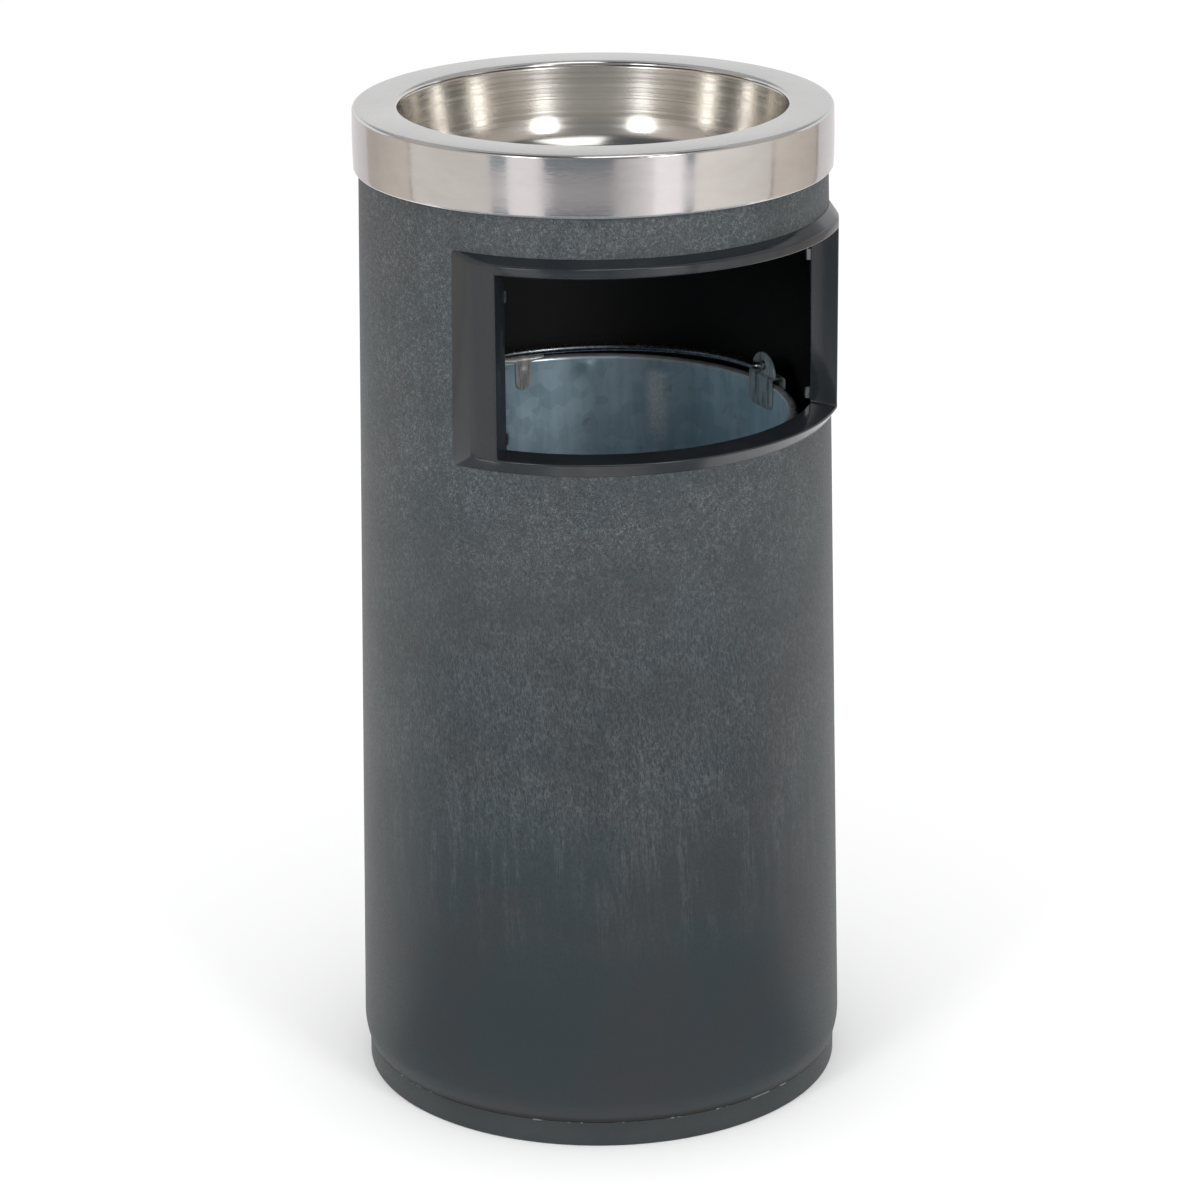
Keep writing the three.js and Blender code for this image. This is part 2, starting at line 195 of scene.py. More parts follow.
# ---- node helpers ----
class Nodes:
    """A short way to build a procedural material."""

    def __init__(self, name):
        self.material = bpy.data.materials.new(name)
        self.material.use_nodes = True
        self.tree = self.material.node_tree
        self.shader = self.tree.nodes["Principled BSDF"]
        self.coords = self.node("ShaderNodeTexCoord").outputs["Object"]

    def node(self, kind, **settings):
        made = self.tree.nodes.new(kind)
        for key, value in settings.items():
            setattr(made, key, value)
        return made

    def link(self, source, target):
        self.tree.links.new(source, target)

    def put(self, socket, value):
        if isinstance(value, bpy.types.NodeSocket):
            self.link(value, socket)
        else:
            socket.default_value = value

    def scaled(self, scale, turn=(0, 0, 0), coords=None):
        made = self.node("ShaderNodeMapping")
        self.link(coords or self.coords, made.inputs["Vector"])
        made.inputs["Scale"].default_value = scale
        made.inputs["Rotation"].default_value = [math.radians(a) for a in turn]
        return made.outputs["Vector"]

    def noise(self, scale, detail=2.0, rough=0.5, coords=None, bend=0.0):
        made = self.node("ShaderNodeTexNoise")
        self.link(coords or self.coords, made.inputs["Vector"])
        made.inputs["Scale"].default_value = scale
        made.inputs["Detail"].default_value = detail
        made.inputs["Roughness"].default_value = rough
        made.inputs["Distortion"].default_value = bend
        return made.outputs["Fac"]

    def math(self, operation, a, b=0.0, clamp=False):
        made = self.node("ShaderNodeMath", operation=operation, use_clamp=clamp)
        self.put(made.inputs[0], a)
        self.put(made.inputs[1], b)
        return made.outputs[0]

    def times(self, a, b, clamp=False):
        return self.math("MULTIPLY", a, b, clamp)

    def plus(self, a, b, clamp=False):
        return self.math("ADD", a, b, clamp)

    def minus(self, a, b):
        return self.math("SUBTRACT", a, b)

    def span(self, value, low, high, to_low=0.0, to_high=1.0, smooth=True):
        made = self.node("ShaderNodeMapRange")
        made.interpolation_type = "SMOOTHSTEP" if smooth else "LINEAR"
        made.clamp = True
        for key, item in (("Value", value), ("From Min", low), ("From Max", high),
                          ("To Min", to_low), ("To Max", to_high)):
            self.put(made.inputs[key], item)
        return made.outputs["Result"]

    def blend(self, share, a, b):
        made = self.node("ShaderNodeMix", data_type="RGBA")
        self.put(made.inputs["Factor"], share)
        self.put(made.inputs["A"], a)
        self.put(made.inputs["B"], b)
        return made.outputs["Result"]

    def distance_from_axis(self):
        square = [self.times(self.axis(name), self.axis(name)) for name in ("X", "Y")]
        return self.math("SQRT", self.plus(*square))

    def axis(self, name):
        made = self.node("ShaderNodeSeparateXYZ")
        self.link(self.coords, made.inputs["Vector"])
        return made.outputs[name]

    def bump(self, height, strength, distance, under=None):
        made = self.node("ShaderNodeBump")
        made.inputs["Strength"].default_value = strength
        made.inputs["Distance"].default_value = distance
        self.link(height, made.inputs["Height"])
        if under is not None:
            self.link(under, made.inputs["Normal"])
        return made.outputs["Normal"]

    def strands(self, coords, scale, width, bend=0.0):
        """Thin curly lines: where a smooth noise passes through its middle value."""
        field = self.noise(scale, 1.0, 0.4, coords, bend)
        offset = self.math("ABSOLUTE", self.minus(field, 0.5))
        return self.span(offset, width * 0.25, width, 1.0, 0.0)

    def set(self, name, value):
        self.put(self.shader.inputs[name], value)


# ---- finishes ----
def slate_plastic(name):
    """Moulded slate polypropylene: pale fibres lie curled near the top and drawn out lower down."""
    n = Nodes(name)
    height = n.axis("Z")
    leaning = n.scaled((1, 1, 1), (0, 8, 0))
    curled = n.scaled((1, 1, 0.85))
    short = n.scaled((1, 1, 0.28), coords=leaning)
    drawn = n.scaled((1, 1, 0.09), coords=n.scaled((1, 1, 1), (0, 3, 0)))
    patch = n.noise(30, 4.0, 0.6)
    curls = n.math("MAXIMUM", n.strands(curled, 380, 0.04, 1.6), n.strands(curled, 620, 0.05, 1.0))
    flecks = n.math("MAXIMUM", n.strands(short, 480, 0.055, 0.5), n.strands(short, 760, 0.07, 0.2))
    streaks = n.math("MAXIMUM", n.strands(drawn, 380, 0.07, 0.3), n.strands(drawn, 620, 0.09))
    upper = n.span(height, 0.25, 0.36)
    middle = n.times(n.span(height, 0.14, 0.2), n.minus(1.0, upper))
    below = n.minus(1.0, n.span(height, 0.15, 0.24))
    lower = n.times(n.span(height, 0.09, 0.16), below)
    sparse = n.span(n.noise(150, 2.0, 0.5, drawn), 0.42, 0.6)
    curls = n.times(curls, upper)
    flecks = n.times(n.times(flecks, middle), 0.42)
    mixed = n.plus(curls, flecks)
    streaks = n.times(n.times(streaks, sparse), n.times(lower, 0.3))
    mixed = n.plus(mixed, streaks, clamp=True)
    broken = n.span(n.noise(420, 2.0, 0.6), 0.38, 0.62, 0.4, 1.0)
    mixed = n.times(n.times(mixed, broken), n.span(patch, 0.36, 0.64, 0.6, 1.0))
    # dark strands: painted shadow beside the pale fibres, standing in for the shade of their relief
    fibre_shadow_curls = n.times(n.strands(curled, 500, 0.05, 1.2), upper)
    fibre_shadow_flecks = n.times(n.strands(short, 500, 0.07, 0.3), middle)
    fibre_shadows = n.plus(fibre_shadow_curls, n.times(fibre_shadow_flecks, 0.5), clamp=True)
    fine = n.noise(1300, 2.0, 0.6)
    warm, teal = (0.0235, 0.0265, 0.0305, 1), (0.0185, 0.0275, 0.0315, 1)
    ground = n.blend(n.span(n.noise(16, 3.0, 0.55), 0.4, 0.6), warm, teal)
    # lighter towards the top and darker near the foot: painted light from above and painted shade low down,
    # mixed with random speckle and patches of tone
    raised = n.plus(n.span(height, 0.1, 0.4, 0.02, 0.09), n.span(fine, 0.3, 0.7, -0.03, 0.04))
    raised = n.times(n.plus(raised, n.span(patch, 0.3, 0.7, -0.008, 0.012)),
                    n.span(height, 0.07, 0.15, 0.3, 1.0), clamp=True)
    ground = n.blend(raised, ground, (0.15, 0.17, 0.18, 1))
    # the dark strands are painted shadow
    ground = n.blend(n.times(fibre_shadows, 0.5), ground, (0.008, 0.01, 0.012, 1))
    lit = n.blend(n.times(mixed, 0.46), ground, (0.19, 0.215, 0.225, 1))
    # the inner face is plain and painted near-black: painted shade for the unlit inside
    across = n.plus(n.distance_from_axis(), n.times(height, BODY_DRAFT))
    skin = BODY_RADIUS + BASE_STEP * BODY_DRAFT - BODY_WALL / 2
    outside = n.span(across, skin - 0.5 * MM, skin + 0.5 * MM)
    n.set("Base Color", n.blend(outside, (0.008, 0.0075, 0.007, 1), lit))
    grain = n.noise(1100, 3.0, 0.6)
    n.set("Roughness", n.span(grain, 0.3, 0.7, 0.42, 0.54))
    relief = n.bump(grain, 0.1, 0.0003)
    relief = n.bump(mixed, 0.2, 0.0002, relief)
    n.set("Normal", relief)
    n.set("Specular IOR Level", 0.4)
    return n.material


def seam_flash(name):
    """The base moulding, with a broken pale line of flash along its upper edge."""
    n = Nodes(name)
    height = n.axis("Z")
    patch = n.noise(30, 3.0, 0.6)
    ground = n.blend(n.span(patch, 0.35, 0.65), (0.021, 0.0275, 0.03, 1), (0.026, 0.032, 0.0345, 1))
    edge = n.span(height, BASE_STEP - 0.0006, BASE_STEP - 0.0002)
    dashes = n.span(n.noise(48, 4.0, 0.75), 0.54, 0.62)
    n.set("Base Color", n.blend(n.times(edge, dashes), ground, (0.2, 0.235, 0.245, 1)))
    grain = n.noise(700, 3.0, 0.6)
    n.set("Roughness", n.span(grain, 0.3, 0.7, 0.42, 0.52))
    n.set("Normal", n.bump(grain, 0.1, 0.0003))
    n.set("Specular IOR Level", 0.4)
    return n.material


def frame_plastic():
    """Semi-gloss dark moulding with a faint pull along its sides."""
    n = Nodes("frame_plastic")
    flow = n.noise(60, 2.0, 0.5, n.scaled((1, 1, 0.2)))
    deep, pale = (0.0135, 0.016, 0.019, 1), (0.017, 0.0195, 0.0225, 1)
    n.set("Base Color", n.blend(n.span(flow, 0.35, 0.65), deep, pale))
    n.set("Roughness", n.span(n.noise(90, 3.0, 0.5), 0.3, 0.7, 0.12, 0.17))
    n.set("Specular IOR Level", 0.6)
    n.set("Normal", n.bump(flow, 0.03, 0.0006))
    return n.material


def lathe_lines(n, scale):
    """A noise that changes only with radius and height, as turning and brushing marks do."""
    line = n.node("ShaderNodeCombineXYZ")
    n.link(n.distance_from_axis(), line.inputs["X"])
    n.link(n.axis("Z"), line.inputs["Y"])
    return n.noise(scale, 2.0, 0.6, line.outputs[0])


def brushed_stainless():
    """Ring: a satin top with concentric brushing and a brighter skirt, brushed level."""
    n = Nodes("brushed_stainless")
    brushing = lathe_lines(n, 2600)
    broad = n.noise(9, 2.0, 0.5)
    smudge = n.noise(30, 4.0, 0.65, n.scaled((1, 1, 2.5)))
    tone = n.plus(n.times(broad, 0.6), n.times(smudge, 0.4))
    n.set("Base Color", n.blend(n.span(tone, 0.35, 0.65), (0.64, 0.63, 0.63, 1), (0.73, 0.72, 0.715, 1)))
    n.set("Metallic", 1.0)
    top = n.span(n.axis("Z"), TOP - 0.9 * MM, TOP - 0.1 * MM)
    satin = n.plus(n.times(top, 0.13), n.span(smudge, 0.3, 0.7, 0.0, 0.05))
    n.set("Roughness", n.plus(satin, n.span(brushing, 0.25, 0.75, 0.07, 0.12)))
    relief = n.bump(brushing, 0.05, 0.0001)
    n.set("Normal", n.bump(smudge, 0.04, 0.002, relief))
    return n.material


def polished_stainless():
    """Bowl: spun and polished, with faint lathe rings and a warm cast."""
    n = Nodes("polished_stainless")
    rings = lathe_lines(n, 700)
    broad = n.noise(14, 2.0, 0.5)
    n.set("Base Color", n.blend(n.span(broad, 0.3, 0.7), (0.62, 0.6, 0.56, 1), (0.69, 0.66, 0.62, 1)))
    n.set("Metallic", 1.0)
    n.set("Roughness", n.span(rings, 0.25, 0.75, 0.13, 0.21))
    relief = n.bump(rings, 0.1, 0.0002)
    n.set("Normal", n.bump(broad, 0.1, 0.003, relief))
    return n.material


def galvanised_sheet():
    """Zinc, stained blue inside and greyer outside: soft spangle, drawn marks, a few brown stains, and
    painted highlights on the wall and rim bead.
    """
    n = Nodes("galvanised_sheet")
    height = n.axis("Z")
    spangle = n.node("ShaderNodeTexVoronoi")
    n.link(n.coords, spangle.inputs["Vector"])
    spangle.inputs["Scale"].default_value = 150
    crystal = n.node("ShaderNodeSeparateColor")
    n.link(spangle.outputs["Color"], crystal.inputs["Color"])
    marks = n.noise(110, 3.0, 0.6, n.scaled((1, 1, 0.12)))
    cloud = n.noise(26, 4.0, 0.6)
    tone = n.plus(n.times(crystal.outputs[0], 0.2), n.times(marks, 0.8))
    ground = n.blend(n.span(tone, 0.25, 0.75), (0.4, 0.55, 0.64, 1), (0.62, 0.8, 0.9, 1))
    stain = n.times(n.span(n.noise(70, 3.0, 0.6), 0.66, 0.74), 0.45)
    ground = n.blend(n.span(cloud, 0.3, 0.7, 0.0, 0.3), ground, (0.26, 0.39, 0.48, 1))
    # painted highlights: a pale speckled band down the wall where a light's reflection runs, and the top of
    # the rim bead painted bright where a light's reflection lies along it; the bead top is also made
    # smoother
    east, north, _ = polar(WALL_TOP_RADIUS, HIGHLIGHT_BAND_ANGLE, 0)
    aside = [n.minus(n.axis(name), value) for name, value in (("X", east), ("Y", north))]
    aside = n.math("SQRT", n.plus(*[n.times(value, value) for value in aside]))
    speckle = n.span(n.noise(650, 3.0, 0.7), 0.35, 0.6, 0.35, 1.0)
    highlight_band = n.times(n.span(aside, 2 * MM, 8 * MM, 1.0, 0.0), speckle)
    ends = n.times(n.span(height, RIM_HEIGHT - 50 * MM, RIM_HEIGHT - 30 * MM),
                  n.span(height, RIM_HEIGHT - 8 * MM, RIM_HEIGHT - 3 * MM, 1.0, 0.0))
    bead = n.span(height, RIM_HEIGHT, RIM_HEIGHT + 1 * MM)
    rub_marks_and_painted_glints = n.plus(n.times(highlight_band, ends), bead, clamp=True)
    ground = n.blend(n.times(rub_marks_and_painted_glints, 0.9), ground, (0.92, 0.97, 0.98, 1))
    tapering = n.times(height, BUCKET_TAPER / RIM_HEIGHT)
    across = n.minus(n.distance_from_axis(), tapering)
    skin = WALL_TOP_RADIUS - BUCKET_TAPER + SHEET / 2
    grey = n.blend(n.span(tone, 0.25, 0.75), (0.36, 0.4, 0.42, 1), (0.5, 0.54, 0.56, 1))
    ground = n.blend(n.span(across, skin - 0.1 * MM, skin + 0.1 * MM), ground, grey)
    n.set("Base Color", n.blend(stain, ground, (0.34, 0.3, 0.24, 1)))
    n.set("Metallic", 0.6)
    bead_gloss = n.times(bead, 0.16)
    n.set("Roughness", n.minus(n.span(tone, 0.2, 0.8, 0.32, 0.42), bead_gloss))
    grain = n.node("ShaderNodeTangent", direction_type="RADIAL", axis="Z")
    n.link(grain.outputs["Tangent"], n.shader.inputs["Tangent"])
    n.set("Anisotropic", 0.6)
    n.set("Anisotropic Rotation", 0.25)
    relief = n.bump(marks, 0.05, 0.0008)
    n.set("Normal", n.bump(cloud, 0.1, 0.002, relief))
    return n.material


def strip_zinc(name, dull, rubbed_colour, stained):
    """The welded saddles: zinc strip with rub marks along its height, with stained patches."""
    n = Nodes(name)
    rub_marks_and_painted_glints = n.noise(260, 3.0, 0.6, n.scaled((1, 1, 0.15)))
    cloud = n.noise(60, 3.0, 0.6)
    ground = n.blend(n.span(rub_marks_and_painted_glints, 0.3, 0.7), dull, rubbed_colour)
    n.set("Base Color", n.blend(n.span(cloud, 0.55, 0.75, 0.0, 0.6), ground, stained))
    n.set("Metallic", 0.5)
    n.set("Roughness", n.span(rub_marks_and_painted_glints, 0.3, 0.7, 0.26, 0.4))
    n.set("Normal", n.bump(rub_marks_and_painted_glints, 0.06, 0.0004))
    return n.material


def worn_metal(name, scale, colours, roughness, relief):
    """Bare metal whose colour, roughness and relief follow one noise."""
    n = Nodes(name)
    wear = n.noise(scale, 3.0, 0.6)
    n.set("Base Color", n.blend(n.span(wear, 0.3, 0.7), *colours))
    n.set("Metallic", 1.0)
    n.set("Roughness", n.span(wear, 0.3, 0.7, *roughness))
    n.set("Normal", n.bump(wear, *relief))
    return n.material


SLATE = slate_plastic("slate_plastic")
BASE_PLASTIC = seam_flash("slate_plastic_base")
FRAME_PLASTIC = frame_plastic()
BRUSHED = brushed_stainless()
POLISHED = polished_stainless()
GALVANISED = galvanised_sheet()
PALE_ZINC = ((0.5, 0.5, 0.47, 1), (0.8, 0.79, 0.75, 1), (0.5, 0.46, 0.38, 1))
# the ears' zinc: a darker grey-green copy of the saddle zinc, painted shade for the ears sitting in shade
SHADED_ZINC = ((0.13, 0.17, 0.18, 1), (0.42, 0.48, 0.5, 1), (0.16, 0.2, 0.21, 1))
PALE_STRIP = strip_zinc("pale_zinc_strip", *PALE_ZINC)
SHADED_STRIP = strip_zinc("shaded_zinc_strip", *SHADED_ZINC)
WIRE_COLOURS = ((0.36, 0.41, 0.43, 1), (0.55, 0.59, 0.6, 1))
SPRING_COLOURS = ((0.26, 0.27, 0.28, 1), (0.42, 0.43, 0.44, 1))
WIRE = worn_metal("zinc_wire", 380, WIRE_COLOURS, (0.24, 0.28), (0.02, 0.0001))
SPRING = worn_metal("spring_steel", 300, SPRING_COLOURS, (0.3, 0.45), (0.06, 0.0003))


# ---- tube and base ----
def body_tube():
    """The drafted tube with its rounded foot and the window cut for the frame."""
    gap = 2.5 * MM
    half = OPENING_HALF_ANGLE + math.degrees(gap / SLEEVE_RADIUS)
    low, high = OPENING_BOTTOM - gap, OPENING_TOP + gap
    round_height, inset = 12 * MM, 2.3 * MM
    size = (round_height ** 2 + inset ** 2) / (2 * inset)
    sweep = math.degrees(math.asin(round_height / size))
    round_top = SEAM + round_height
    foot = arc((body_radius(round_top) - size, round_top), size, -sweep, 0, 10)
    lip = 0.6 * MM
    outer = [*foot, (body_radius(low), low), (body_radius(high), high)]
    outer += arc((body_radius(SHELL_TOP) - lip, SHELL_TOP - lip), lip, 0, 90, 3)
    inner = [(body_radius(z) - BODY_WALL, z) for z in (SEAM, low, high, SHELL_TOP)]
    across = [-half + 2 * half * i / 88 for i in range(89)]
    around = [half + (360 - 2 * half) * i / 200 for i in range(1, 200)]
    angles = across + around
    first = outer.index((body_radius(low), low))
    shape = Shape()
    count = len(angles)
    outer_rows = [[polar(r, a, z) for a in angles] for r, z in outer]
    inner_rows = [[polar(r, a, z) for a in angles] for r, z in inner]
    verts = [v for row in outer_rows + inner_rows for v in row]
    inner_base = len(outer_rows)

    def at(row, column):
        return row * count + column % count

    def quad(row, match, j):
        return (at(row, j), at(row, j + 1), at(match, j + 1), at(match, j))

    faces = []
    for base, total, window in ((0, len(outer_rows), first), (inner_base, len(inner_rows), 1)):
        for i in range(total - 1):
            for j in range(count):
                if i != window or j >= len(across) - 1:
                    faces.append(quad(base + i, base + i + 1, j))
    for j in range(count):
        faces.append(quad(0, inner_base, j))
        faces.append(quad(inner_base - 1, inner_base + len(inner_rows) - 1, j))
    for j in range(len(across) - 1):
        for row, match in ((first, inner_base + 1), (first + 1, inner_base + 2)):
            faces.append(quad(row, match, j))
    for j in (0, len(across) - 1):
        faces.append((at(first, j), at(first + 1, j), at(inner_base + 2, j), at(inner_base + 1, j)))
    shape.add(verts, faces)
    return shape.make("tube", "bin_body", SLATE, "slate_plastic", "body_shell", 25)


def base_moulding():
    """The closed foot: a band a little smaller than the tube, with a spigot inside it."""
    chamfer, floor = 1.0 * MM, 3.5 * MM
    spigot, wall = 123.5 * MM, 2.5 * MM
    top = BASE_HIGH.z
    profile = [
        (0, BASE_LOW.z),
        (BASE_RADIUS - 4 * MM, BASE_LOW.z),
        *arc((BASE_RADIUS - chamfer, BASE_LOW.z + chamfer), chamfer, -90, 0, 4),
        *arc((BASE_RADIUS - 0.4 * MM, BASE_STEP - 0.4 * MM), 0.4 * MM, 0, 90, 3),
        (spigot, BASE_STEP),
        (spigot, top - 0.5 * MM),
        (spigot - 0.5 * MM, top),
        (spigot - wall, top),
        (spigot - wall, floor + 2 * MM),
        (spigot - wall - 2 * MM, floor),
        (0, floor),
    ]
    shape = turned(profile, closed=False)
    return shape.make("base_moulding", "bin_body", BASE_PLASTIC, "slate_plastic", "base_cap", 30)


# ---- window frame ----
FACE_SIDE, FACE_ABOVE, FACE_BELOW = 13.8 * MM, 4.8 * MM, 0.8 * MM
FLANK_SIDE = 28.3 * MM
FACE_FALL = 1.9 * MM
SILL_RISE = 1.4 * MM
SLEEVE_SPREAD = 0.9 * MM


def frame_loop(side, above, below, raised, depth, corner):
    """One loop round the window, grown on each side; raised is 1 on the face and 0 on the tube."""
    half_opening = math.radians(OPENING_HALF_ANGLE) * FRAME_RADIUS
    half, low, high = half_opening + side, OPENING_BOTTOM - below, OPENING_TOP + above
    corners = []
    for cx, cz, start in ((half, low, -90), (half, high, 0), (-half, high, 90), (-half, low, 180)):
        ox = cx - math.copysign(corner, cx)
        oz = cz + (corner if cz == low else -corner)
        corners.append([(ox + corner * math.cos(math.radians(start + 18 * i)),
                         oz + corner * math.sin(math.radians(start + 18 * i))) for i in range(6)])
    flat = []
    for number, steps in enumerate((30, 96, 30, 96)):
        flat.extend(corners[number])
        last, following = corners[number][-1], corners[(number + 1) % 4][0]
        for i in range(1, steps):
            t = i / steps
            flat.append((last[0] + (following[0] - last[0]) * t, last[1] + (following[1] - last[1]) * t))
    points = []
    for u, z in flat:
        beyond = max(0.0, min(1.0, (abs(u) - half_opening) / FACE_SIDE))
        face = FRAME_RADIUS - FACE_FALL * beyond
        seat = body_radius(z) + 0.2 * MM
        radius = seat + (face - seat) * raised - depth
        points.append(polar(radius, math.degrees(u / FRAME_RADIUS), z))
    return points


def rounded_rows(rows, cuts, steps=4):
    """The rows with rounded turns; a cut is the share of the edge taken before and after the turn."""
    out = []
    for i, here in enumerate(rows):
        back, on = cuts[i]
        if not back:
            out.append(here)
            continue
        before, after = rows[i - 1], rows[(i + 1) % len(rows)]
        start = [h + (b - h) * back for h, b in zip(here, before)]
        end = [h + (a - h) * on for h, a in zip(here, after)]
        for k in range(steps + 1):
            t = k / steps
            out.append([s * (1 - t) ** 2 + 2 * h * t * (1 - t) + e * t * t
                        for s, h, e in zip(start, here, end)])
    return out


def window_frame():
    """Bezel with sloping flanks, a bent face and a sleeve that runs back through the tube."""
    above, below = FRAME_HIGH.z - OPENING_TOP, OPENING_BOTTOM - FRAME_LOW.z
    sleeve = FRAME_RADIUS - SLEEVE_RADIUS
    wall = 2.1 * MM
    under = 0.1 * MM
    lip = 0.7 * MM
    back = body_radius(OPENING_BOTTOM) - SLEEVE_RADIUS
    edge = [(lip * (1 - math.cos(a)), lip * (1 - math.sin(a))) for a in [math.pi / 12 * i for i in range(7)]]
    rows = [
        [SLEEVE_SPREAD, 0, -SILL_RISE, 1, sleeve, 0.8 * MM],
        *[[grow, grow, grow, 1, depth, 0.9 * MM] for grow, depth in edge],
        [FACE_SIDE, FACE_ABOVE, FACE_BELOW, 1, 0, 2.5 * MM],
        [FLANK_SIDE, above, below, 0, 0, 2.0 * MM],
        [FLANK_SIDE, above, below, 0, under, 2.0 * MM],
        [wall, wall, wall, 0, under, 1.5 * MM],
        [wall, wall, wall, 0, back, 1.5 * MM],
    ]
    cuts = [(0.2, 0.04), *[(0, 0)] * len(edge), (0.14, 0.2), (0.03, 0.5), (0, 0), (0, 0), (0.04, 0.2)]
    loops = [frame_loop(*row) for row in rounded_rows(rows, cuts)]
    shape = Shape().rows(loops, wrap=True, closed=True)
    return shape.make("window_frame", "bin_body", FRAME_PLASTIC, "frame_plastic", "aperture_frame", 40)


# ---- strips, plates and tubes ----
def fillet_path(points, size, steps=5):
    """A polyline in a plane with its corners rounded by size."""
    out = [points[0]]
    for before, here, after in zip(points, points[1:], points[2:]):
        a = Vector(before) - Vector(here)
        b = Vector(after) - Vector(here)
        cut = min(size, a.length * 0.45, b.length * 0.45)
        start, end = Vector(here) + a.normalized() * cut, Vector(here) + b.normalized() * cut
        for k in range(steps + 1):
            t = k / steps
            out.append(tuple(start * (1 - t) ** 2 + Vector(here) * (2 * t * (1 - t)) + end * (t * t)))
    out.append(points[-1])
    return out


def resampled(points, step):
    """The same path with points no further apart than step."""
    out = [points[0]]
    for a, b in zip(points, points[1:]):
        length = math.dist(a, b)
        parts = max(1, math.ceil(length / step))
        for k in range(1, parts + 1):
            out.append((a[0] + (b[0] - a[0]) * k / parts, a[1] + (b[1] - a[1]) * k / parts))
    return out


def sheet_strip(path, thickness, half_width, place, dimple=None, across=12):
    """A bent sheet strip: path in a plane, its half width at each distance, and where it goes."""
    lengths = [0.0]
    for a, b in zip(path, path[1:]):
        lengths.append(lengths[-1] + math.dist(a, b))
    rows = []
    for i, here in enumerate(path):
        before, after = path[max(i - 1, 0)], path[min(i + 1, len(path) - 1)]
        along = Vector((after[0] - before[0], after[1] - before[1])).normalized()
        normal = Vector((-along.y, along.x))
        half = half_width(lengths[i], lengths[-1])
        upper, lower = [], []
        for k in range(across + 1):
            t = -1 + 2 * k / across
            push = dimple(lengths[i], t * half) if dimple else 0.0
            edge = 0.5 * thickness * (0.72 if k in (0, across) else 1.0)
            for row, sign in ((upper, 1), (lower, -1)):
                offset = sign * edge + push
                row.append(place(here[0] + normal.x * offset, here[1] + normal.y * offset, t * half))
        rows.append(upper + lower[::-1])
    shape = Shape().rows(rows, wrap=True)
    count = len(rows[0])
    for row, flip in ((0, False), (len(rows) - 1, True)):
        base = row * count
        for k in range(across):
            quad = (base + k, base + k + 1, base + count - 2 - k, base + count - 1 - k)
            shape.faces.append(quad[::-1] if flip else quad)
    return shape


def polar_plate(centre, outline, hole, thickness, place, steps=64):
    """A flat plate with a round hole: outline gives the distance from the hole centre by angle."""
    soft = 0.18 * MM
    rings = []
    for radius_of, level in (
        (lambda a: hole + soft, -0.5), (lambda a: hole, -0.5 + soft / thickness),
        (lambda a: hole, 0.5 - soft / thickness), (lambda a: hole + soft, 0.5),
        (lambda a: outline(a) - soft, 0.5), (lambda a: outline(a), 0.5 - soft / thickness),
        (lambda a: outline(a), -0.5 + soft / thickness), (lambda a: outline(a) - soft, -0.5),
    ):
        ring = []
        for j in range(steps):
            a = 2 * math.pi * j / steps
            r = radius_of(a)
            ring.append(place(centre[0] + r * math.cos(a), centre[1] + r * math.sin(a), level * thickness))
        rings.append(ring)
    return Shape().rows(rings, wrap=True, closed=True)


def round_tube(points, radius, sides=32):
    """A round wire along points that lie in one level plane, with domed ends."""
    rows = []
    total = len(points)
    for i, here in enumerate(points):
        before, after = Vector(points[max(i - 1, 0)]), Vector(points[min(i + 1, total - 1)])
        along = (after - before).normalized()
        out = along.cross(Vector((0, 0, 1))).normalized()
        ring = []
        for k in range(sides):
            a = 2 * math.pi * k / sides
            rise = Vector((0, 0, radius * math.sin(a)))
            ring.append(tuple(Vector(here) + out * (radius * math.cos(a)) + rise))
        rows.append(ring)
    for end, step in ((0, -1), (total - 1, 1)):
        here = Vector(points[end])
        inner = Vector(points[end - step])
        along = (here - inner).normalized()
        dome = []
        for level in (1, 2, 3):
            lift = math.radians(30 * level)
            tip = along * (0.4 * radius * math.sin(lift))
            edge = rows[0 if end == 0 else -1]
            dome.append([tuple(here + (Vector(v) - here) * math.cos(lift) + tip) for v in edge])
        rows = dome[::-1] + rows if end == 0 else rows + dome
    return Shape().rows(rows, wrap=True)


# ---- frame clips and base screws ----
def frame_clips():
    """J-shaped spring strips: a foot on the tube wall, a leg along the sleeve, a hook round its end."""
    thickness, reach, foot = 0.7 * MM, 3 * MM, 8 * MM
    per_metre = 1 / math.radians(1) / SLEEVE_RADIUS
    sleeve_edge = OPENING_HALF_ANGLE + 2.2 * MM * per_metre
    for side_name, side in (("left", -1), ("right", 1)):
        for level_name in ("lower", "upper"):
            node = f"frame_clip_{side_name}_{level_name}"
            low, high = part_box(node)
            middle = (low.z + high.z) / 2
            wall = body_radius(high.z) - BODY_WALL - 0.9 * MM
            leg = sleeve_edge + 0.9 * MM * per_metre
            tip = OPENING_HALF_ANGLE + 1.0 * MM * per_metre
            start = SLEEVE_RADIUS - reach + 0.2 * MM
            path = [
                (leg + foot * per_metre, wall), (leg, wall), (leg, start),
                (tip, start), (tip, SLEEVE_RADIUS - 0.4 * MM),
            ]
            plane = [(a / per_metre, r) for a, r in path]
            plane = fillet_path(plane, 1.0 * MM)

            def place(u, r, width, side=side, middle=middle):
                return polar(r, side * u * per_metre, middle + width)

            def width(distance, total):
                return 2.8 * MM

            strip = sheet_strip(plane, thickness, width, place, across=4)
            strip.make(node + "_strip", "bin_body", SPRING, "spring_steel", node, 40)


def circle(radius, lift, steps=48):
    turns = [2 * math.pi * j / steps for j in range(steps)]
    return [(radius * math.cos(a), radius * math.sin(a), lift) for a in turns]


